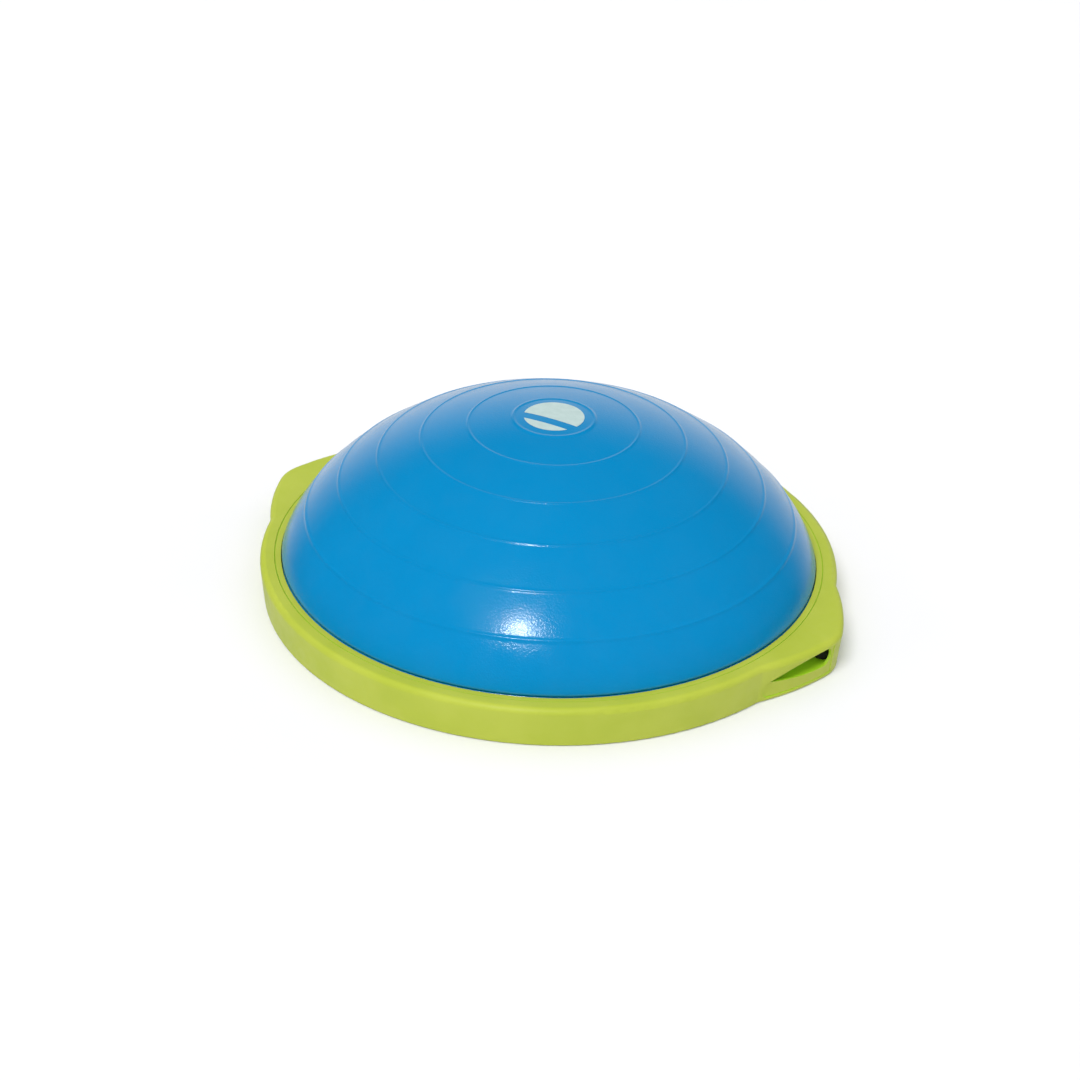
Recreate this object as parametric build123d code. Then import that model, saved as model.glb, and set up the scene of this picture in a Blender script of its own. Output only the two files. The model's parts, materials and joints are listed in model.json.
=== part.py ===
"""Balance dome trainer: a half-ball air bladder held in a round platform with two carrying handles.

Units are millimetres. +Z is up, the floor is z = 0 and the platform is centred on the Z axis.
The two handles lie on +X and -X, and the air valve is on the +Y side.
"""
from math import asin, cos, degrees, radians, sin, tan
import os

from build123d import *

# ---- heights ----
SKIRT_Z = 0.6  # bottom edge of the platform ring's wall, just clear of the floor
UNDERSIDE_Z = 2.0  # underside of the base plate
BASE_TOP_Z = 6.0  # top of the base plate's skin
RIB_MEET_Z = 14.0  # where the base plate's ribs meet the deck's ribs
DECK_BOTTOM_Z = 22.0
DECK_TOP_Z = 26.0  # the bladder's bead and floor rest here
SEAL_BOTTOM_Z = 31.5
ROOF_Z = 33.0  # underside of the platform ring's roof
LIP_Z = 36.1  # inner lip, a fine step below the ring's top
LIP_GROOVE_Z = 35.3
RING_TOP_Z = 36.5

# ---- platform ring ----
DRAFT = 5.2  # degrees, all outer walls lean out towards the top
WALL_REF_Z = 32.0
WALL_REF_R = 253.0  # outer wall radius at WALL_REF_Z
WALL = 3.0
LIP_R = 234.8  # edge of the ring's round opening
LIP_STEP_R = 239.8
LIP_GROOVE = 1.0
RING_SOLID_R = 200.0  # any radius well inside the ring's own section
TOP_ROUND = 5.0
BOTTOM_ROUND = 1.2
NOTCH_ROUND = 9.0

# ---- handle lobes ----
LOBE_TIP_R = 276.2
LOBE_TIP_ARC_R = 41.0
LOBE_TIP_HALF_ANGLE = 17.6
LOBE_ROOT = (233.0, 89.3)  # where a lobe's side has run inside the round wall
SLOT_TOP_Z = 31.0
SLOT_FLOOR_Z = 13.5
SLOT_END_Y = 9.3  # half width of the wall left at the lobe's tip
SLOT_POINT_Y = 71.0
SLOT_POINT_Z = 19.0
RECESS_DEPTH = 1.6  # of the shallow recess round a slot, at its pointed end
RECESS_TIP_DEPTH = 0.5  # of the same recess at the lobe's tip
RECESS_END_Y = 75.5
RECESS_LOW_Z = 3.5
RECESS_START_Y = 7.4
LOBE_FLOOR = 3.0
LOBE_SKIN = 3.0

# ---- bladder ----
DOME_R = 233.8
DOME_FOOT_Z = 35.7
DOME_TOP_Z = 168.6
DOME_POWER = 1.36  # exponent of the cosine in the dome's profile
DOME_WALL = 3.5
DOME_FLOOR = 3.0
BEAD_R = 237.6
DOME_SAMPLES = 12

# ---- valve ----
VALVE_ANGLE = 75.0  # degrees along the dome's profile, measured from the crown
VALVE_BORE_R = 2.5
VALVE_TUBE_R = 5.0
VALVE_FLANGE_R = 9.0
VALVE_FLANGE = 1.6
VALVE_SINK = 1.0  # how deep the flange's seat is cut below the dome's surface
VALVE_TUBE_LENGTH = 14.0
PLUG_CLEARANCE = 0.05
PLUG_HEAD_R = 6.5
PLUG_HEAD = 2.4
PLUG_SHANK = 12.0

# ---- printed badge on the crown ----
BADGE_R = 26.0
BADGE_GAP = 0.3
BADGE_FILM = 0.4
BADGE_BAND = 9.1  # width of the bare band across the badge, which runs along X
BADGE_BAND_Y = -11.2

# ---- screws ----
SCREW_COUNT = 12
SCREW_CIRCLE_R = 241.5
BOSS_R = 3.4
SCREW_R = 1.75
SCREW_HOLE_R = 1.8
SCREW_HEAD_R = 3.1
SCREW_HEAD = 2.0
HEAD_WELL_R = 3.3
SCREW_BITE_Z = 31.0  # how high the screws reach
DRIVE_R = 1.5
DRIVE_DEPTH = 1.0

# ---- plates ----
DECK_R = 246.0
BASE_R = 246.2
BOSS_NOTCH_R = 4.2
RIB = 2.5
RIB_RADII = (60.0, 130.0, 200.0)
RADIAL_RIBS = 12
RADIAL_RIB_START = 60.0
RADIAL_RIB_END = 232.0
HUB_RECESS_R = 48.0
HUB_RECESS = 1.0

# ---- feet ----
FOOT_CIRCLE_R = 205.0
HANDLE_FOOT_R = 261.5  # distance of a handle's foot from the centre
FOOT_R = 18.0
HANDLE_FOOT_PAD_R = 9.0
FOOT_SEAT_Z = 4.0
FOOT_STEM_R = 4.0
FOOT_HEAD_R = 5.5
HANDLE_STEM_R = 5.0
HANDLE_HEAD_R = 8.3
HANDLE_HEAD = 7.5
FOOT_GAP = 0.3
FOOT_TREAD = 0.8


def wall_r(z, inset=0.0):
    """Outer wall radius of the platform at height z, less an inset."""
    return WALL_REF_R + (z - WALL_REF_Z) * tan(radians(DRAFT)) - inset


def turned(*points):
    """Solid turned about Z from a closed outline of (radius, height) points."""
    outline = Polyline([(r, 0, z) for r, z in points], close=True)
    return revolve(make_face(outline), Axis.Z)


def post(radius, low, high, x=0.0, y=0.0):
    """Upright cylinder between two heights."""
    return Pos(x, y, (low + high) / 2) * Cylinder(radius, high - low)


def around(solid, count, start=0.0):
    """Copies of a solid spaced evenly about Z."""
    return [Rot(0, 0, start + 360 / count * k) * solid for k in range(count)]


def fused(solids):
    """One solid from a list of solids that touch."""
    return Part() + solids


def plan_radius(point):
    return (point.X ** 2 + point.Y ** 2) ** 0.5


# ---- bladder ----
def dome_point(angle, inset=0.0):
    """Point of the dome's profile; angle runs from 0 at the crown to 90 at the foot."""
    radius = (DOME_R - inset) * sin(radians(angle))
    rise = (DOME_TOP_Z - inset - DOME_FOOT_Z) * max(cos(radians(angle)), 0.0) ** DOME_POWER
    return Vector(radius, 0, DOME_FOOT_Z + rise)


def dome_curve(inset=0.0, last_angle=90.0, lift=0.0):
    """Smooth half profile of the dome from the crown outwards."""
    points = [dome_point(last_angle * k / DOME_SAMPLES, inset) for k in range(DOME_SAMPLES + 1)]
    raised = [point + Vector(0, 0, lift) for point in points]
    return Spline(raised)


def valve_plane():
    """Plane on the dome's skin at the valve, its normal pointing out of the bladder."""
    here = dome_point(VALVE_ANGLE)
    along = dome_point(VALVE_ANGLE + 0.5) - dome_point(VALVE_ANGLE - 0.5)
    origin = Vector(0, here.X, here.Z)
    outward = Vector(0, -along.Z, along.X)
    return Plane(origin=origin, x_dir=(1, 0, 0), z_dir=outward)


def on_valve(radius, low, high):
    """Cylinder on the valve's axis between two distances from the dome's skin."""
    return valve_plane() * Pos(0, 0, (low + high) / 2) * Cylinder(radius, high - low)


def dome_bladder():
    outer = dome_curve()
    inner = dome_curve(inset=DOME_WALL)
    wall_in = DOME_R - DOME_WALL
    floor_in = DECK_TOP_Z + DOME_FLOOR
    skirt = Polyline(
        (DOME_R, 0, DOME_FOOT_Z),
        (DOME_R, 0, SEAL_BOTTOM_Z),
        (BEAD_R, 0, SEAL_BOTTOM_Z),
        (BEAD_R, 0, DECK_TOP_Z),
        (0, 0, DECK_TOP_Z),
        (0, 0, floor_in),
        (wall_in, 0, floor_in),
        (wall_in, 0, DOME_FOOT_Z),
    )
    crown = Line((0, 0, DOME_TOP_Z - DOME_WALL), (0, 0, DOME_TOP_Z))
    shell = revolve(make_face([outer, skirt, inner, crown]), Axis.Z)
    shell -= on_valve(VALVE_TUBE_R, -3 * DOME_WALL, DOME_WALL)
    return shell - on_valve(VALVE_FLANGE_R + FOOT_GAP, -VALVE_SINK, DOME_WALL)


def valve_seat():
    flange = on_valve(VALVE_FLANGE_R, -VALVE_SINK, VALVE_FLANGE - VALVE_SINK)
    tube = on_valve(VALVE_TUBE_R, -VALVE_TUBE_LENGTH, -VALVE_SINK)
    return flange + tube - on_valve(VALVE_BORE_R, -2 * VALVE_TUBE_LENGTH, VALVE_TUBE_LENGTH)


def valve_plug():
    face = VALVE_FLANGE - VALVE_SINK
    head = on_valve(PLUG_HEAD_R, face, face + PLUG_HEAD)
    head = chamfer(head.edges().group_by(lambda edge: plan_radius(edge.center()))[-1], PLUG_HEAD / 4)
    shank = on_valve(VALVE_BORE_R - PLUG_CLEARANCE, face - PLUG_SHANK, face)
    return head + shank


def rim_seal():
    return turned(
        (DOME_R + FOOT_GAP, SEAL_BOTTOM_Z),
        (BEAD_R, SEAL_BOTTOM_Z),
        (BEAD_R, ROOF_Z),
        (DOME_R + FOOT_GAP, ROOF_Z),
    )


def badge_film():
    """Whole badge disc, a thin film that follows the crown."""
    last_angle = degrees(asin(BADGE_R / DOME_R))
    under = dome_curve(last_angle=last_angle, lift=BADGE_GAP)
    over = dome_curve(last_angle=last_angle, lift=BADGE_GAP + BADGE_FILM)
    edge = Line(under @ 1, over @ 1)
    centre = Line(under @ 0, over @ 0)
    return revolve(make_face([under, edge, over, centre]), Axis.Z)


def badge_side(side):
    """Part of the badge on one side of the bare band: +1 above it, -1 below it."""
    reach = 2 * BADGE_R
    shift = BADGE_BAND_Y + side * (BADGE_BAND / 2 + reach / 2)
    keep = Pos(0, shift, DOME_TOP_Z) * Box(2 * reach, reach, reach)
    return badge_film() & keep


# ---- platform ring ----
def lobe_outline(root_inset=0.0, tip_inset=0.0):
    """Plan face of the right-hand lobe at the ring's top; the insets pull in its roots and its tip."""
    centre_x = LOBE_TIP_R - LOBE_TIP_ARC_R
    arc_r = LOBE_TIP_ARC_R - tip_inset
    half = radians(LOBE_TIP_HALF_ANGLE)
    corner = (centre_x + arc_r * cos(half), arc_r * sin(half))
    root = (LOBE_ROOT[0] - root_inset, LOBE_ROOT[1])
    tip = ThreePointArc((corner[0], -corner[1]), (centre_x + arc_r, 0), corner)
    side = TangentArc(corner, root, tangent=(-sin(half), cos(half)))
    back = Line(root, (root[0], -root[1]))
    return make_face([tip, side, back, mirror(side, Plane.XZ)])


def drawn_lobe(outline, high, low):
    """Lobe solid between two heights whose sides lean in towards the floor."""
    return extrude(Pos(0, 0, high) * outline, high - low, dir=(0, 0, -1), taper=DRAFT)


def lobe_space(high, low):
    """Space inside a lobe's walls between two heights."""
    lean = (RING_TOP_Z - high) * tan(radians(DRAFT))
    outline = offset(lobe_outline(RECESS_DEPTH), -LOBE_SKIN - lean)
    return drawn_lobe(outline, high, low)


def round_core():
    """Everything inside the platform's round outer wall."""
    low = SKIRT_Z - 10
    high = RING_TOP_Z + 10
    return turned((0, low), (wall_r(low), low), (wall_r(high), high), (0, high))


def slot_mouth():
    """Leaf-shaped mouth of a handle slot, pushed through along X on the -Y side."""
    post_y = -SLOT_END_Y
    middle_z = (SLOT_TOP_Z + SLOT_FLOOR_Z) / 2
    round_end = (SLOT_TOP_Z - SLOT_FLOOR_Z) / 2
    top_start = (0, post_y - round_end, SLOT_TOP_Z)
    floor_start = (0, post_y - round_end, SLOT_FLOOR_Z)
    tip = (0, -SLOT_POINT_Y, SLOT_POINT_Z)
    outline = [
        ThreePointArc(floor_start, (0, post_y, middle_z), top_start),
        TangentArc(top_start, tip, tangent=(0, -1, 0)),
        TangentArc(floor_start, tip, tangent=(0, -1, 0)),
    ]
    return extrude(make_face(outline), 2 * LOBE_TIP_R, dir=(1, 0, 0))


def slot_recess():
    """Shallow recess round a slot's mouth on the -Y side, deepest at the pointed end."""
    top_start = (0, -RECESS_START_Y, SLOT_TOP_Z)
    bend = (0, -SLOT_END_Y - (SLOT_TOP_Z - SLOT_FLOOR_Z) / 2, SLOT_TOP_Z)
    tip = (0, -SLOT_POINT_Y - 1, SLOT_POINT_Z)
    low_end = (0, -SLOT_POINT_Y, RECESS_LOW_Z)
    end = (0, -RECESS_END_Y, (SLOT_POINT_Z + RECESS_LOW_Z) / 2)
    low_start = (0, -RECESS_START_Y, RECESS_LOW_Z)
    outline = [
        Line(top_start, bend),
        TangentArc(bend, tip, tangent=(0, -1, 0)),
        ThreePointArc(tip, end, low_end),
        Line(low_end, low_start),
        Line(low_start, top_start),
    ]
    prism = extrude(make_face(outline), 2 * LOBE_TIP_R, dir=(1, 0, 0))
    return prism - drawn_lobe(lobe_outline(RECESS_DEPTH, RECESS_TIP_DEPTH), RING_TOP_Z, SKIRT_Z)


def handle_cuts():
    """All that is cut out of the right-hand lobe."""
    front = fused([slot_mouth(), slot_recess()])
    inside = lobe_space(SLOT_TOP_Z, SLOT_FLOOR_Z)
    floor_under = SLOT_FLOOR_Z - LOBE_FLOOR
    below = lobe_space(floor_under, 0) - post(HANDLE_FOOT_PAD_R + 2, 0, floor_under, x=HANDLE_FOOT_R)
    foot_way = post(HANDLE_STEM_R + FOOT_GAP, 0, SLOT_FLOOR_Z + 1, x=HANDLE_FOOT_R)
    pad_seat = post(HANDLE_FOOT_PAD_R + FOOT_GAP, 0, FOOT_SEAT_Z, x=HANDLE_FOOT_R)
    return [solid - round_core() for solid in (front, mirror(front, Plane.XZ), inside, below)] + [foot_way, pad_seat]


def screw_boss(low):
    """Boss hanging from the roof, tied to the wall by a gusset."""
    column = post(BOSS_R, low, ROOF_Z + 1, x=SCREW_CIRCLE_R)
    reach = wall_r(low, WALL / 2) - SCREW_CIRCLE_R
    gusset = Pos(SCREW_CIRCLE_R + reach / 2, 0, (low + ROOF_Z + 1) / 2) * Box(reach, RIB, ROOF_Z + 1 - low)
    return column + gusset


def outer_edges(solid, low, high):
    """Edges of the platform's outer skin whose centres lie between two heights."""
    return [edge for edge in solid.edges() if plan_radius(edge @ 0) > RING_SOLID_R + 20
            and low < edge.center().Z < high]


def platform_ring():
    drum = turned(
        (RING_SOLID_R, SKIRT_Z),
        (wall_r(SKIRT_Z), SKIRT_Z),
        (wall_r(RING_TOP_Z), RING_TOP_Z),
        (RING_SOLID_R, RING_TOP_Z),
    )
    lobe = drawn_lobe(lobe_outline(), RING_TOP_Z, SKIRT_Z)
    ring = fused([drum, lobe, Rot(0, 0, 180) * lobe])
    upright = outer_edges(ring, SKIRT_Z + 1, RING_TOP_Z - 1)
    notches = [edge for edge in upright if LOBE_ROOT[1] * 0.7 < abs(edge.center().Y) < LOBE_ROOT[1]]
    ring = fillet(notches, NOTCH_ROUND)
    ring = fillet(outer_edges(ring, RING_TOP_Z - 0.1, RING_TOP_Z + 0.1), TOP_ROUND)
    ring = fillet(outer_edges(ring, SKIRT_Z - 0.1, SKIRT_Z + 0.1), BOTTOM_ROUND)
    ring -= turned((0, LIP_Z), (LIP_STEP_R, LIP_Z), (LIP_STEP_R, RING_TOP_Z + 1), (0, RING_TOP_Z + 1))
    ring -= turned(
        (LIP_STEP_R, RING_TOP_Z + 1),
        (LIP_STEP_R, LIP_GROOVE_Z),
        (LIP_STEP_R + LIP_GROOVE, RING_TOP_Z + 0.1),
        (LIP_STEP_R + LIP_GROOVE, RING_TOP_Z + 1),
    )
    ring -= post(LIP_R, 0, RING_TOP_Z + 1)
    ring -= turned(
        (0, 0),
        (wall_r(0, WALL), 0),
        (wall_r(ROOF_Z, WALL), ROOF_Z),
        (0, ROOF_Z),
    )
    for cut in handle_cuts():
        ring -= [cut, Rot(0, 0, 180) * cut]
    half_step = 180 / SCREW_COUNT
    ring += around(screw_boss(BASE_TOP_Z), SCREW_COUNT)
    ring += around(screw_boss(DECK_TOP_Z), SCREW_COUNT, half_step)
    pilot = post(SCREW_HOLE_R, 0, SCREW_BITE_Z + 1, x=SCREW_CIRCLE_R)
    return ring - around(pilot, 2 * SCREW_COUNT)


# ---- plates ----
def plate_ribs(low, high):
    """Round and straight ribs between two heights, clear of the foot seats."""
    rings = [post(r + RIB / 2, low, high) - post(r - RIB / 2, low, high) for r in RIB_RADII]
    length = RADIAL_RIB_END - RADIAL_RIB_START
    spoke = Pos(RADIAL_RIB_START + length / 2, 0, (low + high) / 2) * Box(length, RIB, high - low)
    return fused(rings + around(spoke, RADIAL_RIBS, 180 / RADIAL_RIBS))


def deck_plate():
    deck = post(DECK_R, DECK_BOTTOM_Z, DECK_TOP_Z) + plate_ribs(RIB_MEET_Z, DECK_BOTTOM_Z)
    notch = post(BOSS_NOTCH_R, RIB_MEET_Z, DECK_TOP_Z + 1, x=SCREW_CIRCLE_R)
    mouth_length = DECK_R - SCREW_CIRCLE_R + 1
    mouth = Pos(SCREW_CIRCLE_R + mouth_length / 2, 0, DECK_BOTTOM_Z) * Box(
        mouth_length, 2 * BOSS_NOTCH_R, 4 * BASE_TOP_Z)
    deck -= around(notch + mouth, SCREW_COUNT)
    hole = post(SCREW_HOLE_R, RIB_MEET_Z, DECK_TOP_Z + 1, x=SCREW_CIRCLE_R)
    return deck - around(hole, SCREW_COUNT, 180 / SCREW_COUNT)


def plate_foot_angles():
    """Directions of the six feet that sit on the base plate."""
    return [45 * k for k in range(8) if k % 4]


def base_plate():
    base = post(BASE_R, UNDERSIDE_Z, BASE_TOP_Z) + plate_ribs(BASE_TOP_Z, RIB_MEET_Z)
    base = chamfer(base.edges().filter_by(GeomType.CIRCLE).group_by(Axis.Z)[0], 1.0)
    base -= post(HUB_RECESS_R, UNDERSIDE_Z, UNDERSIDE_Z + HUB_RECESS)
    pads = []
    seats = []
    for angle in plate_foot_angles():
        turn = Rot(0, 0, angle)
        pads.append(turn * post(FOOT_R + 3, BASE_TOP_Z, BASE_TOP_Z + 2, x=FOOT_CIRCLE_R))
        seats.append(turn * post(FOOT_R + FOOT_GAP, 0, FOOT_SEAT_Z, x=FOOT_CIRCLE_R))
        seats.append(turn * post(FOOT_STEM_R + FOOT_GAP, 0, RIB_MEET_Z + 1, x=FOOT_CIRCLE_R))
        seats.append(turn * post(FOOT_HEAD_R + 1, BASE_TOP_Z + 2, RIB_MEET_Z + 1, x=FOOT_CIRCLE_R))
    base = base + pads - seats
    well = post(HEAD_WELL_R, 0, UNDERSIDE_Z + SCREW_HEAD + 0.5, x=SCREW_CIRCLE_R)
    hole = post(SCREW_HOLE_R, 0, BASE_TOP_Z + 1, x=SCREW_CIRCLE_R)
    return base - around(well + hole, SCREW_COUNT)


def screw(head_low):
    """Pan-head screw, head down, with a cross drive."""
    head_top = head_low + SCREW_HEAD
    head = post(SCREW_HEAD_R, head_low, head_top, x=SCREW_CIRCLE_R)
    shank = post(SCREW_R, head_top, SCREW_BITE_Z, x=SCREW_CIRCLE_R)
    slot = Pos(SCREW_CIRCLE_R, 0, head_low + DRIVE_DEPTH / 2)
    bars = [slot * Box(2 * DRIVE_R, 0.8, DRIVE_DEPTH), slot * Box(0.8, 2 * DRIVE_R, DRIVE_DEPTH)]
    return head + shank - bars


def base_screws():
    return Compound(around(screw(UNDERSIDE_Z + 0.5), SCREW_COUNT))


def deck_screws():
    return Compound(around(screw(DECK_BOTTOM_Z - SCREW_HEAD), SCREW_COUNT, 180 / SCREW_COUNT))


# ---- feet ----
def foot(pad_r, stem_r, neck_top, head_r, head_height, x):
    """Rubber foot: grooved pad, stem through the shell and a rounded head that holds it in."""
    pad = post(pad_r, 0, FOOT_SEAT_Z)
    pad = fillet(pad.edges().filter_by(GeomType.CIRCLE).group_by(Axis.Z)[0], 1.0)
    grooves = [post(pad_r * share + 0.6, 0, FOOT_TREAD) - post(pad_r * share - 0.6, 0, FOOT_TREAD)
               for share in (0.45, 0.75)]
    head = post(head_r, neck_top, neck_top + head_height)
    head = fillet(head.edges().filter_by(GeomType.CIRCLE).group_by(Axis.Z)[-1], head_height * 0.6)
    return Pos(x, 0, 0) * (pad - grooves + post(stem_r, FOOT_SEAT_Z, neck_top) + head)


def plate_foot():
    return foot(FOOT_R, FOOT_STEM_R, BASE_TOP_Z + 2, FOOT_HEAD_R, 4.0, FOOT_CIRCLE_R)


def handle_foot():
    return foot(HANDLE_FOOT_PAD_R, HANDLE_STEM_R, SLOT_FLOOR_Z, HANDLE_HEAD_R, HANDLE_HEAD, HANDLE_FOOT_R)


def main():
    os.makedirs("parts", exist_ok=True)
    pieces = {
        "dome_bladder": dome_bladder(),
        "valve_seat": valve_seat(),
        "valve_plug": valve_plug(),
        "rim_seal": rim_seal(),
        "badge_upper": badge_side(1),
        "badge_lower": badge_side(-1),
        "platform_ring": platform_ring(),
        "deck_plate": deck_plate(),
        "base_plate": base_plate(),
        "deck_screws": deck_screws(),
        "base_screws": base_screws(),
    }
    for number in range(8):
        model = plate_foot() if number % 4 else handle_foot()
        pieces[f"foot_{number + 1}"] = Rot(0, 0, 45 * number) * model
    for name, shape in pieces.items():
        export_step(shape, f"parts/{name}.step")
    axis = valve_plane().z_dir
    print("valve at", valve_plane().origin, "axis", axis)


main()
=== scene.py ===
"""Looks of the balance dome trainer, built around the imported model. Units are metres."""
import json
from math import atan2, cos, exp, hypot, pi, radians, sin, sqrt

import bpy
from mathutils import Matrix, Vector, noise


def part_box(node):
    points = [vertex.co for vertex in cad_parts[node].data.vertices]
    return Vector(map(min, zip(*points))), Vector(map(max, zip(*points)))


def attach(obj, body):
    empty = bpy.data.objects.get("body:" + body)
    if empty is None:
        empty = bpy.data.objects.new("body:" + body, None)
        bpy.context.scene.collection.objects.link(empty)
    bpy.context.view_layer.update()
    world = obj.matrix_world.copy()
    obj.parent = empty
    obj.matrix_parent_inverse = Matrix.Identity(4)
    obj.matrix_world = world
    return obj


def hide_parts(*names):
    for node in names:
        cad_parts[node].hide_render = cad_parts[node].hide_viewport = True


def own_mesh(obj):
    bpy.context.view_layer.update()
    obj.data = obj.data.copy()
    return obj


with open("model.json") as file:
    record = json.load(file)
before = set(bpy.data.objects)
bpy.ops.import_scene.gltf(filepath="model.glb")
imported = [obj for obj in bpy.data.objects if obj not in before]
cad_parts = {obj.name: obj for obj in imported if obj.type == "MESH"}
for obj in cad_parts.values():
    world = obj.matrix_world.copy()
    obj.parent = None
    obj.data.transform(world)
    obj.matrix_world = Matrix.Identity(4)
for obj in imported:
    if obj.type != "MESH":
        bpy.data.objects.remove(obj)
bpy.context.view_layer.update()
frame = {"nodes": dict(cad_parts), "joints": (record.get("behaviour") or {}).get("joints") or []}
nodes = frame["nodes"]

# ---- places read from the frame ----
dome_low, dome_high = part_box("dome_bladder")
badge_low, badge_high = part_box("badge_upper")
lower_badge_low, lower_badge_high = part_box("badge_lower")
press = next(joint for joint in frame["joints"] if joint["name"] == "crown_press")
pull = next(joint for joint in frame["joints"] if joint["name"] == "plug_pull")
DOME_TOP = dome_high.z
DOME_FOOT = press["deforming_nodes"][0]["fixed_end_z_m"]
FOOT_ANCHOR = (0, 0, DOME_FOOT)
TOP_ANCHOR = (0, 0, DOME_TOP)

# ---- dome shape, which the CAD solid has too ----
MM = 0.001
DOME_R = 233.8 * MM
DOME_POWER = 1.36
DOME_WALL = 3.5 * MM
BEAD_R = 237.6 * MM
BEAD_TOP = 31.5 * MM
DECK_TOP = dome_low.z
VALVE_ANGLE = 75.0


# ---- mesh helpers ----
def add_mesh(name, verts, faces):
    """New smooth-shaded mesh object from points and faces."""
    mesh = bpy.data.meshes.new(name)
    mesh.from_pydata([tuple(v) for v in verts], [], faces)
    mesh.validate()
    for polygon in mesh.polygons:
        polygon.use_smooth = True
    obj = bpy.data.objects.new(name, mesh)
    bpy.context.scene.collection.objects.link(obj)
    return obj


def turned(name, profile, segments, place=None, closed=False):
    """Surface turned about Z from (radius, height) points; place(radius, angle, height) may move a point."""
    place = place or (lambda radius, angle, height: (radius * cos(angle), radius * sin(angle), height))
    verts = []
    rows = []
    for radius, height in profile:
        count = 1 if radius == 0 else segments
        rows.append(range(len(verts), len(verts) + count))
        verts += [place(radius, 2 * pi * k / segments, height) for k in range(count)]
    faces = []
    pairs = list(zip(rows, rows[1:])) + ([(rows[-1], rows[0])] if closed else [])
    for upper, lower in pairs:
        for k in range(segments):
            a, b = upper[k % len(upper)], upper[(k + 1) % len(upper)]
            c, d = lower[(k + 1) % len(lower)], lower[k % len(lower)]
            corners = [a, d, c, b]
            faces.append([v for i, v in enumerate(corners) if v not in corners[:i]])
    return add_mesh(name, verts, faces)


def settled(obj):
    """Replaces an object's mesh with its mesh after modifiers."""
    graph = bpy.context.evaluated_depsgraph_get()
    obj.data = bpy.data.meshes.new_from_object(obj.evaluated_get(graph))
    obj.modifiers.clear()


def smoothstep(low, high, x):
    """0 at low, 1 at high, and smooth between."""
    share = min(max((x - low) / (high - low), 0.0), 1.0)
    return share * share * (3 - 2 * share)


# ---- dome ----
# radii, heights and widths in millimetres
RIB_RADII = [73.6, 113.7, 150.5, 184.0, 212.6]
RIB_HEIGHT = 0.66
RIB_WIDTH = 1.05
DISC_LIFT = 0.2
DISC_R = 35.0
RIM_R = 35.0
RIM_HEIGHT = 0.62
RIM_WIDTH = 1.5
DISC_STEP = 2.0
FOOT_BULGE = 0.55
FOOT_BULGE_R = 231.5
DOME_SEGMENTS = 320
DOME_ROW_STEP = 2.0  # degrees
WAVE_SIZE = 0.075  # metres
WAVE_HEIGHT = 0.00016


def dome_point(angle, inset=0.0):
    """Radius and height on the smooth dome; angle runs from 0 at the crown to 90 at the foot."""
    rise = (DOME_TOP - inset - DOME_FOOT) * max(cos(radians(angle)), 0.0) ** DOME_POWER
    return (DOME_R - inset) * sin(radians(angle)), DOME_FOOT + rise


def dome_height(radius):
    """Height of the smooth dome at a radius."""
    share = max(1 - (radius / DOME_R) ** 2, 0.0)
    return DOME_FOOT + (DOME_TOP - DOME_FOOT) * share ** (DOME_POWER / 2)


def dome_normal(radius):
    """Outward normal of the smooth dome at a radius, as (across, up)."""
    share = max(1 - (radius / DOME_R) ** 2, 1e-6)
    slope = -(DOME_TOP - DOME_FOOT) * DOME_POWER * share ** (DOME_POWER / 2 - 1) * radius / DOME_R**2
    return Vector((-slope, 1)).normalized()


def dome_lift(radius):
    """How far the ribs and the crown's raised disc stand above the smooth dome, in metres."""
    r = radius / MM
    ribs = sum(RIB_HEIGHT * exp(-(((r - at) / RIB_WIDTH) ** 2)) for at in RIB_RADII)
    disc = DISC_LIFT * (1 - smoothstep(DISC_R, DISC_R + DISC_STEP, r))
    rim = RIM_HEIGHT * exp(-(((r - RIM_R) / RIM_WIDTH) ** 2))
    foot = FOOT_BULGE * smoothstep(FOOT_BULGE_R, DOME_R / MM, r)
    return MM * (ribs + disc + rim + foot)


def dome_radii():
    """Radii of the outer skin's rows: even steps, and close ones over ribs and rim."""
    rows = {round(dome_point(DOME_ROW_STEP * k)[0] / MM, 2) for k in range(1, 46)}
    for at in RIB_RADII:
        rows |= {round(at + 0.3 * k, 2) for k in range(-9, 10)}
    rows |= {round(RIM_R + 0.35 * k, 2) for k in range(-10, 14)}
    kept = [0.0]
    for r in sorted(rows):
        if r - kept[-1] > 0.18:
            kept.append(r)
    return [MM * r for r in kept]


def on_skin(radius, angle, lift, wave=1.0):
    """Point on the dome's skin, lifted along its normal."""
    across, up = dome_normal(radius)
    base = Vector((radius * cos(angle), radius * sin(angle), dome_height(radius)))
    fade = smoothstep(DOME_R, 0.9 * DOME_R, radius)
    lift += wave * fade * WAVE_HEIGHT * noise.noise(base / WAVE_SIZE)
    return base + lift * Vector((across * cos(angle), across * sin(angle), up))


def build_dome():
    """Closed shell of the inflated part, cut by the valve's bore."""
    outer = [(radius, 0) for radius in dome_radii()]
    inner = [dome_point(90 - 3.0 * k, DOME_WALL) for k in range(31)]
    inner[-1] = (0, inner[-1][1])

    def place(radius, angle, height):
        if height == 0:
            return on_skin(radius, angle, dome_lift(radius))
        return (radius * cos(angle), radius * sin(angle), height)

    return turned("dome_skin", outer + inner, DOME_SEGMENTS, place)


# ---- valve, at the back of the dome ----
BORE_CUT_R = 5.2 * MM
BORE_CUT_REACH = 12 * MM
COLLAR_FLAT_R = 8 * MM
COLLAR_FOLLOWS_R = 11.5 * MM
valve_axis = Vector(pull["axis"]).normalized()
valve_radius, valve_z = dome_point(VALVE_ANGLE)
valve_origin = Vector((0, valve_radius, valve_z))
valve_side = Vector((1, 0, 0))
valve_up = valve_axis.cross(valve_side)


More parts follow.
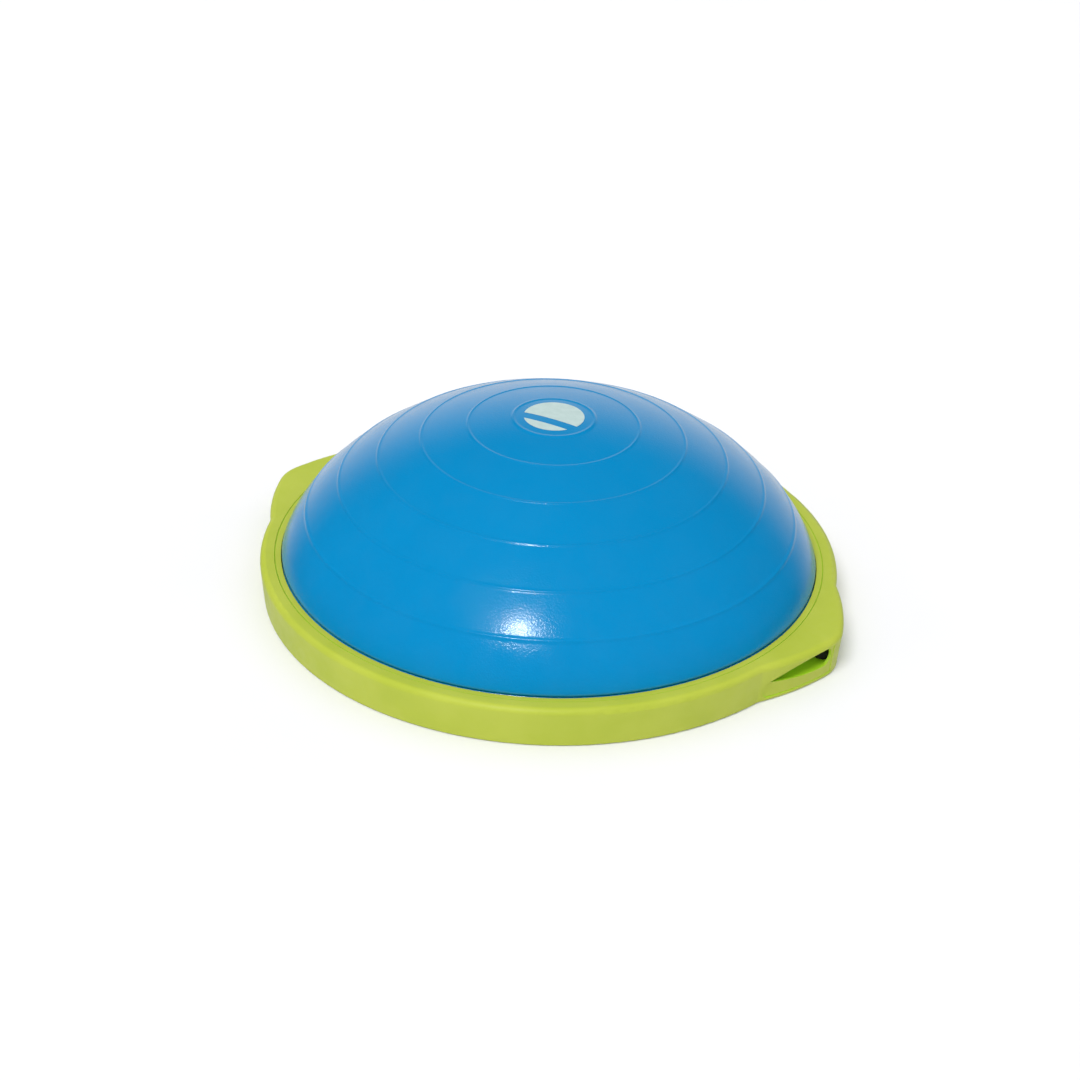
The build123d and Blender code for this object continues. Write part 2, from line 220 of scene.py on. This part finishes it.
def on_valve(radius, angle, height):
    """Point about the valve's axis at a height above the plane that touches the dome there."""
    across = radius * (cos(angle) * valve_side + sin(angle) * valve_up)
    return valve_origin + across + height * valve_axis


def sag_at(point):
    """How far below the valve's plane the dome's skin lies, along the valve's axis."""
    low, high = -8 * MM, 2 * MM
    for _ in range(24):
        middle = (low + high) / 2
        probe = point + middle * valve_axis
        inside = probe.z < dome_height(min(hypot(probe.x, probe.y), DOME_R))
        low, high = (middle, high) if inside else (low, middle)
    return high


def place_collar(radius, angle, height):
    """Point of the valve's collar, which follows the dome away from its flat middle."""
    flat = on_valve(radius, angle, 0)
    follow = smoothstep(COLLAR_FLAT_R, COLLAR_FOLLOWS_R, radius)
    return flat + (height + follow * sag_at(flat)) * valve_axis


# outlines as (radius, height) in millimetres about the valve's axis
COLLAR = [
    (17.2, -0.7), (17.2, -0.05), (16.7, 0.35), (15.9, 0.75), (15.0, 0.95), (13.6, 1.0), (12.6, 0.9),
    (11.8, 0.55), (11.2, 0.28), (10.2, 0.2), (9.3, 0.2), (8.9, 0.32), (8.6, 0.5), (8.1, 0.58), (7.0, 0.58),
    (3.6, 0.58), (3.0, 0.5), (2.65, 0.2), (2.55, -0.4), (2.5, -2.0), (2.5, -14.0), (4.8, -14.0), (5.0, -13.8),
    (5.0, -4.5), (5.0, -0.75), (9.0, -0.75), (13.0, -0.75),
]
PLUG = [
    (0, 2.45), (2.2, 2.47), (3.4, 2.6), (4.3, 2.9), (5.0, 3.0), (5.6, 2.96), (6.1, 2.75), (6.4, 2.35),
    (6.5, 1.8), (6.5, 1.1), (6.35, 0.75), (6.1, 0.62), (3.2, 0.6), (2.7, 0.45), (2.4, 0.1), (2.35, -1.2),
    (2.45, -1.5),
    (2.45, -3.0), (2.25, -3.5), (2.25, -5.0), (2.45, -5.5), (2.45, -7.0), (2.25, -7.5), (2.25, -9.3),
    (2.1, -10.4), (1.7, -11.1), (1.0, -11.35), (0, -11.4),
]


def millimetres(profile):
    return [(MM * radius, MM * height) for radius, height in profile]


def build_valve():
    seat = turned("valve_collar", millimetres(COLLAR), 96, place_collar, closed=True)
    plug = turned("valve_stopper", millimetres(PLUG), 64, on_valve)
    return seat, plug


def bore_dome(dome):
    """Cuts the valve's bore through the dome's wall."""
    top, bottom = BORE_CUT_REACH, -BORE_CUT_REACH
    outline = [(0, top), (BORE_CUT_R, top), (BORE_CUT_R, bottom), (0, bottom)]
    cutter = turned("bore", outline, 48, on_valve)
    cut = dome.modifiers.new("bore", "BOOLEAN")
    cut.object = cutter
    cut.operation = "DIFFERENCE"
    cut.solver = "EXACT"
    settled(dome)
    bpy.data.objects.remove(cutter)


# ---- printed badge ----
BADGE_R = badge_high.x
BADGE_LIFT = DISC_LIFT * MM + 0.02 * MM
BADGE_FILM = 0.2 * MM
BADGE_ROWS = 28
BADGE_COLUMNS = 56


def build_badge(name, low_y, high_y):
    """Part of the badge disc between two heights across it, a closed thin film that follows the crown."""
    rows, columns = BADGE_ROWS, BADGE_COLUMNS
    levels = []
    for k in range(rows + 1):
        share = 0.5 - 0.5 * cos(pi * k / rows)
        levels.append(low_y + share * (high_y - low_y))
    verts = []
    for lift in (BADGE_LIFT, BADGE_LIFT + BADGE_FILM):
        for y in levels:
            half = sqrt(max(BADGE_R**2 - y**2, 1e-9))
            for k in range(columns + 1):
                x = -half * cos(pi * k / columns)
                verts.append(on_skin(hypot(x, y), atan2(y, x), lift))
    width = columns + 1
    top = (rows + 1) * width
    faces = []
    for i in range(rows):
        for j in range(columns):
            a = i * width + j
            faces.append((a, a + width, a + width + 1, a + 1))
            faces.append((top + a, top + a + 1, top + a + width + 1, top + a + width))
    loop = list(range(width - 1)) + [i * width + columns for i in range(rows)]
    loop += [rows * width + j for j in range(columns, 0, -1)] + [i * width for i in range(rows, 0, -1)]
    for a, b in zip(loop, loop[1:] + loop[:1]):
        faces.append((a, b, top + b, top + a))
    return add_mesh(name, verts, faces)


# ---- materials ----
def grow(tree, kind, **inputs):
    """New node of a kind, with its named inputs set."""
    node = tree.nodes.new(kind)
    for name, value in inputs.items():
        node.inputs[name.replace("_", " ")].default_value = value
    return node


def noise_from(tree, coords, scale, detail=2.0, roughness=0.5):
    node = grow(tree, "ShaderNodeTexNoise", Scale=scale, Detail=detail, Roughness=roughness)
    tree.links.new(coords, node.inputs["Vector"])
    return node.outputs["Fac"]


def spread(tree, value, low, high, start=0.3, end=0.7):
    """Value stretched from start..end to low..high."""
    node = grow(tree, "ShaderNodeMapRange")
    node.interpolation_type = "SMOOTHSTEP"
    for name, number in (("From Min", start), ("From Max", end), ("To Min", low), ("To Max", high)):
        node.inputs[name].default_value = number
    tree.links.new(value, node.inputs["Value"])
    return node.outputs["Result"]


def blended(tree, share, first, second):
    """Colour between first, a colour or a socket, and second, a colour, by a share."""
    node = tree.nodes.new("ShaderNodeMix")
    node.data_type = "RGBA"
    tree.links.new(share, node.inputs["Factor"])
    if isinstance(first, tuple):
        node.inputs["A"].default_value = (*first, 1)
    else:
        tree.links.new(first, node.inputs["A"])
    node.inputs["B"].default_value = (*second, 1)
    return node.outputs["Result"]


def surface(name, dark, light, mottle, rough, rough_scale, bumps, **sockets):
    """Principled material: two colours mottled at a noise scale, roughness uneven between two values at
    another, and layers of bump, each a noise scale and a depth in metres."""
    material = bpy.data.materials.new(name)
    material.use_nodes = True
    tree = material.node_tree
    shader = tree.nodes["Principled BSDF"]
    coords = tree.nodes.new("ShaderNodeTexCoord").outputs["Object"]
    share = spread(tree, noise_from(tree, coords, mottle, detail=4.0), 0.0, 1.0)
    tree.links.new(blended(tree, share, dark, light), shader.inputs["Base Color"])
    uneven = spread(tree, noise_from(tree, coords, rough_scale, detail=3.0), rough[0], rough[1])
    tree.links.new(uneven, shader.inputs["Roughness"])
    normal = None
    for scale, depth in bumps:
        bump = grow(tree, "ShaderNodeBump", Strength=1.0, Distance=depth)
        tree.links.new(noise_from(tree, coords, scale), bump.inputs["Height"])
        if normal:
            tree.links.new(normal, bump.inputs["Normal"])
        normal = bump.outputs["Normal"]
    tree.links.new(normal, shader.inputs["Normal"])
    for socket, value in sockets.items():
        shader.inputs[socket.replace("_", " ")].default_value = value
    return material


vinyl = surface(
    "blue_vinyl", (0.0, 0.219, 0.49), (0.0, 0.228, 0.508), 9, (0.13, 0.19), 40,
    [(14, 0.0003), (600, 0.00017)], Coat_Weight=0.13, Coat_Roughness=0.17, Specular_IOR_Level=0.44,
)
lime = surface(
    "lime_plastic", (0.42, 0.5, 0.04), (0.46, 0.53, 0.055), 22, (0.42, 0.52), 120,
    [(60, 0.0002), (900, 0.00006)], Specular_IOR_Level=0.4,
)
inner_black = surface(
    "inner_plastic", (0.04, 0.04, 0.043), (0.06, 0.06, 0.065), 20, (0.5, 0.6), 90, [(800, 0.00005)]
)
rubber = surface(
    "black_rubber", (0.016, 0.016, 0.017), (0.028, 0.028, 0.028), 60, (0.62, 0.8), 200, [(700, 0.0001)]
)
white_plastic = surface(
    "white_plastic", (0.74, 0.74, 0.71), (0.8, 0.8, 0.78), 60, (0.3, 0.4), 200, [(900, 0.00003)]
)
mint = surface(
    "mint_ink", (0.44, 0.575, 0.56), (0.49, 0.625, 0.61), 160, (0.3, 0.42), 400,
    [(700, 0.00003)], Coat_Weight=0.15,
)
zinc = surface(
    "zinc_steel", (0.5, 0.51, 0.53), (0.62, 0.63, 0.65), 300, (0.28, 0.45), 500,
    [(1500, 0.00003)], Metallic=1.0,
)


def paint_bounce_light_in_hollows(material, colour, reach, start, end):
    """Paints bounce light into a material's colour: takes it to another one in the object's own hollows."""
    tree = material.node_tree
    shader = tree.nodes["Principled BSDF"]
    open_share = grow(tree, "ShaderNodeAmbientOcclusion", Distance=reach)
    open_share.only_local = True
    open_share.samples = 8
    shaded = spread(tree, open_share.outputs["AO"], 1.0, 0.0, start, end)
    plain = shader.inputs["Base Color"].links[0].from_socket
    tree.links.new(blended(tree, shaded, plain, colour), shader.inputs["Base Color"])


# painted bounce light: the lime turns a brighter green in its own hollows, such as inside the handle slots
PAINTED_BOUNCE_REACH = 0.045
PAINTED_BOUNCE_GREEN = (0.42, 0.69, 0.025)
paint_bounce_light_in_hollows(lime, PAINTED_BOUNCE_GREEN, PAINTED_BOUNCE_REACH, 0.45, 0.85)


def paint(obj, material):
    """Gives an object one material."""
    obj.data.materials.clear()
    obj.data.materials.append(material)


# ---- pieces that stand for soft or detailed CAD solids ----
dome = build_dome()
bore_dome(dome)
wall_in = DOME_R - DOME_WALL
bead = turned(
    "dome_bead",
    [
        (0, DECK_TOP + 3 * MM), (wall_in, DECK_TOP + 3 * MM), (wall_in, DOME_FOOT), (DOME_R, DOME_FOOT),
        (DOME_R, BEAD_TOP), (BEAD_R, BEAD_TOP), (BEAD_R, DECK_TOP), (0, DECK_TOP),
    ],
    DOME_SEGMENTS,
)
collar, stopper = build_valve()
upper = build_badge("badge_print_upper", badge_low.y, badge_high.y)
lower = build_badge("badge_print_lower", lower_badge_low.y, lower_badge_high.y)
for piece, body, node, slot, material, anchor in (
    (dome, "root", "dome_bladder", "dome_vinyl", vinyl, FOOT_ANCHOR),
    (bead, "root", "dome_bladder", "dome_vinyl", vinyl, None),
    (collar, "root", "valve_seat", "dome_vinyl", vinyl, FOOT_ANCHOR),
    (stopper, "plug", "valve_plug", "plug_plastic", white_plastic, FOOT_ANCHOR),
    (upper, "crown", "badge_upper", "badge_ink", mint, TOP_ANCHOR),
    (lower, "crown", "badge_lower", "badge_ink", mint, TOP_ANCHOR),
):
    paint(piece, material)
    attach(piece, body)
    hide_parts(node)
    if anchor:
        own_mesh(piece)
        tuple(anchor)

for name, node in nodes.items():
    if name.startswith("foot") or name == "rim_seal":
        paint(node, rubber)
    elif name in ("platform_ring", "base_plate"):
        paint(node, lime)
    elif name == "deck_plate":
        paint(node, inner_black)
    elif name.endswith("screws"):
        paint(node, zinc)

# ---- stage ----
# camera's place: degrees and metres
CAMERA_AZIMUTH = 27.2
CAMERA_ELEVATION = 30.2
CAMERA_ROLL = 2.035
AIM_RIGHT = -0.00686
AIM_DOWN = -0.03941
CAMERA_DISTANCE = 2.21762
CAMERA_LENS = 2500 / 1080 * 36  # focal length in pixels of the 1080-pixel frame, on a 36 mm sensor

FLOOR_GLOW = 0.055  # seen by the camera alone, to bring the lit floor to white
FLOOR_REACH = 8
floor_corners = [(x * FLOOR_REACH, y * FLOOR_REACH, 0) for x, y in ((-1, -1), (1, -1), (1, 1), (-1, 1))]
floor = add_mesh("floor", floor_corners, [(0, 1, 2, 3)])
paper = surface(
    "floor_paper", (0.785, 0.785, 0.81), (0.805, 0.805, 0.83), 3, (0.7, 0.8), 40, [(300, 0.00005)]
)
paper_tree = paper.node_tree
sheet = paper_tree.nodes["Principled BSDF"]
sheet.inputs["Emission Color"].default_value = (1, 1, 1, 1)
sheet.inputs["Specular IOR Level"].default_value = 0.1
seen = paper_tree.nodes.new("ShaderNodeLightPath").outputs["Is Camera Ray"]
paper_tree.links.new(spread(paper_tree, seen, 0.0, FLOOR_GLOW, 0.0, 1.0), sheet.inputs["Emission Strength"])
paint(floor, paper)
floor.visible_glossy = False


def toward(azimuth, elevation):
    """Direction from the object; azimuth 0 is the camera's side and grows to its right."""
    turn = radians(CAMERA_AZIMUTH + azimuth - 90)
    flat = cos(radians(elevation))
    return Vector((flat * cos(turn), flat * sin(turn), sin(radians(elevation))))


# ---- surroundings: white for the camera, soft even light, and a bright backdrop for reflections ----
AMBIENT = 0.7
world = bpy.data.worlds.new("studio")
bpy.context.scene.world = world
world.use_nodes = True
sky = world.node_tree
background = sky.nodes["Background"]
path = sky.nodes.new("ShaderNodeLightPath")
direction = sky.nodes.new("ShaderNodeTexCoord").outputs["Generated"]


def sky_along(vector):
    """How far the sky's direction points along a vector."""
    node = sky.nodes.new("ShaderNodeVectorMath")
    node.operation = "DOT_PRODUCT"
    sky.links.new(direction, node.inputs[0])
    node.inputs[1].default_value = vector
    return node.outputs["Value"]


def sky_math(operation, first, second):
    """Result of a sum on two numbers or sockets."""
    node = sky.nodes.new("ShaderNodeMath")
    node.operation = operation
    for socket, value in zip(node.inputs, (first, second)):
        if isinstance(value, float):
            socket.default_value = value
        else:
            sky.links.new(value, socket)
    return node.outputs["Value"]


BACKDROP_WAY = toward(178, -12)
glossy = path.outputs["Is Glossy Ray"]
backdrop = spread(sky, sky_along(BACKDROP_WAY), 0.02, 0.86, 0.56, 1.0)
table = spread(sky, sky_along((0, 0, -1)), 0.0, 0.85, 0.14, 0.42)
reflected = sky_math("MULTIPLY", glossy, sky_math("MAXIMUM", backdrop, table))
even = sky_math("MULTIPLY", sky_math("SUBTRACT", 1.0, glossy), AMBIENT)
shown = sky_math("MAXIMUM", sky_math("ADD", reflected, even), path.outputs["Is Camera Ray"])
sky.links.new(shown, background.inputs["Strength"])
background.inputs["Color"].default_value = (1, 1, 1, 1)
bpy.context.scene.view_settings.view_transform = "Standard"


def lamp(name, kind, direction, distance, energy, aim=(0, 0, 0.1)):
    """Lamp that stands at a distance from a point and faces it."""
    light = bpy.data.lights.new(name, kind)
    light.energy = energy
    obj = bpy.data.objects.new(name, light)
    obj.location = Vector(aim) + distance * direction
    obj.rotation_euler = (-direction).to_track_quat("-Z", "Y").to_euler()
    bpy.context.scene.collection.objects.link(obj)
    return obj


KEY_WAY = toward(-25, 57)
KEY_STRENGTH = 2.0
KEY_SPREAD = 28  # degrees
FLASH_SPOT = Vector((0.078, -0.191, 0.083))  # where its reflection stands on the dome
FLASH_WAY = Vector((0.14, -0.628, 0.765)).normalized()
FLASH_WATTS = 12
FLASH_DISTANCE = 2.0
FLASH_WIDTH = 0.032
FLASH_HEIGHT = 0.3
key = lamp("key", "SUN", KEY_WAY, 3, KEY_STRENGTH)
key.data.angle = radians(KEY_SPREAD)
key.visible_glossy = False
flash = lamp("flash", "AREA", FLASH_WAY, FLASH_DISTANCE, FLASH_WATTS, FLASH_SPOT)
flash.visible_diffuse = False
flash.data.shape = "RECTANGLE"
flash.data.size = FLASH_WIDTH
flash.data.size_y = FLASH_HEIGHT

# ---- camera ----
azimuth = radians(CAMERA_AZIMUTH)
elevation = radians(CAMERA_ELEVATION)
roll = radians(CAMERA_ROLL)
level_right = Vector((cos(azimuth), sin(azimuth), 0))
forward = Vector((-sin(azimuth) * cos(elevation), cos(azimuth) * cos(elevation), -sin(elevation)))
level_down = forward.cross(level_right)
right = cos(roll) * level_right - sin(roll) * level_down
down = sin(roll) * level_right + cos(roll) * level_down
camera_spot = AIM_RIGHT * right + AIM_DOWN * down - CAMERA_DISTANCE * forward
camera_data = bpy.data.cameras.new("camera")
camera_data.lens = CAMERA_LENS
camera = bpy.data.objects.new("camera", camera_data)
camera.matrix_world = Matrix.Translation(camera_spot) @ Matrix((right, -down, -forward)).transposed().to_4x4()
bpy.context.scene.collection.objects.link(camera)
bpy.context.scene.camera = camera
